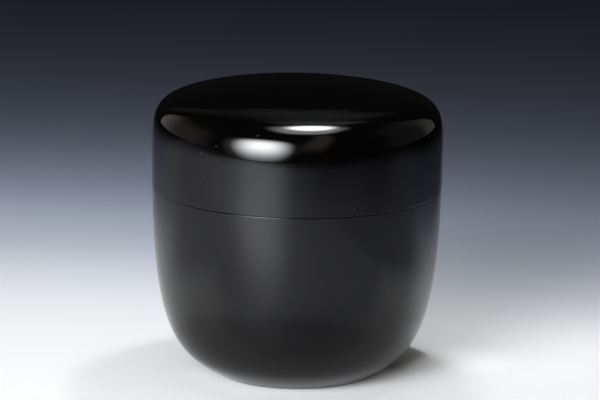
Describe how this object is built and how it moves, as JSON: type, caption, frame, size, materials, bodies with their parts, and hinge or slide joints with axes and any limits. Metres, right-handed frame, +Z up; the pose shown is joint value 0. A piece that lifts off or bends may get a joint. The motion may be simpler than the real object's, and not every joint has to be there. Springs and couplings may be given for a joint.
{
  "type": "tea caddy",
  "caption": "Round turned tea caddy with a raised inner lip and a softly domed cap lid that slides over the lip and lifts off.",
  "frame": {"origin": "middle of the foot ring, on the surface that the caddy stands on", "axes": "+Z up along the axis that the caddy is turned about; the caddy is round, so +X and +Y are alike"},
  "size_m": [0.074, 0.074, 0.0751],
  "materials": {
    "black_lacquer": "turned wood under polished black lacquer, deep gloss with a soft haze"
  },
  "bodies": {
    "body": {"body": "black_lacquer"},
    "lid": {"lid": "black_lacquer"}
  },
  "joints": [
    {"name": "lid_lift", "type": "slide", "parent": "body", "child": "lid", "axis": [0, 0, 1], "range_m": [0, 0.06]}
  ]
}
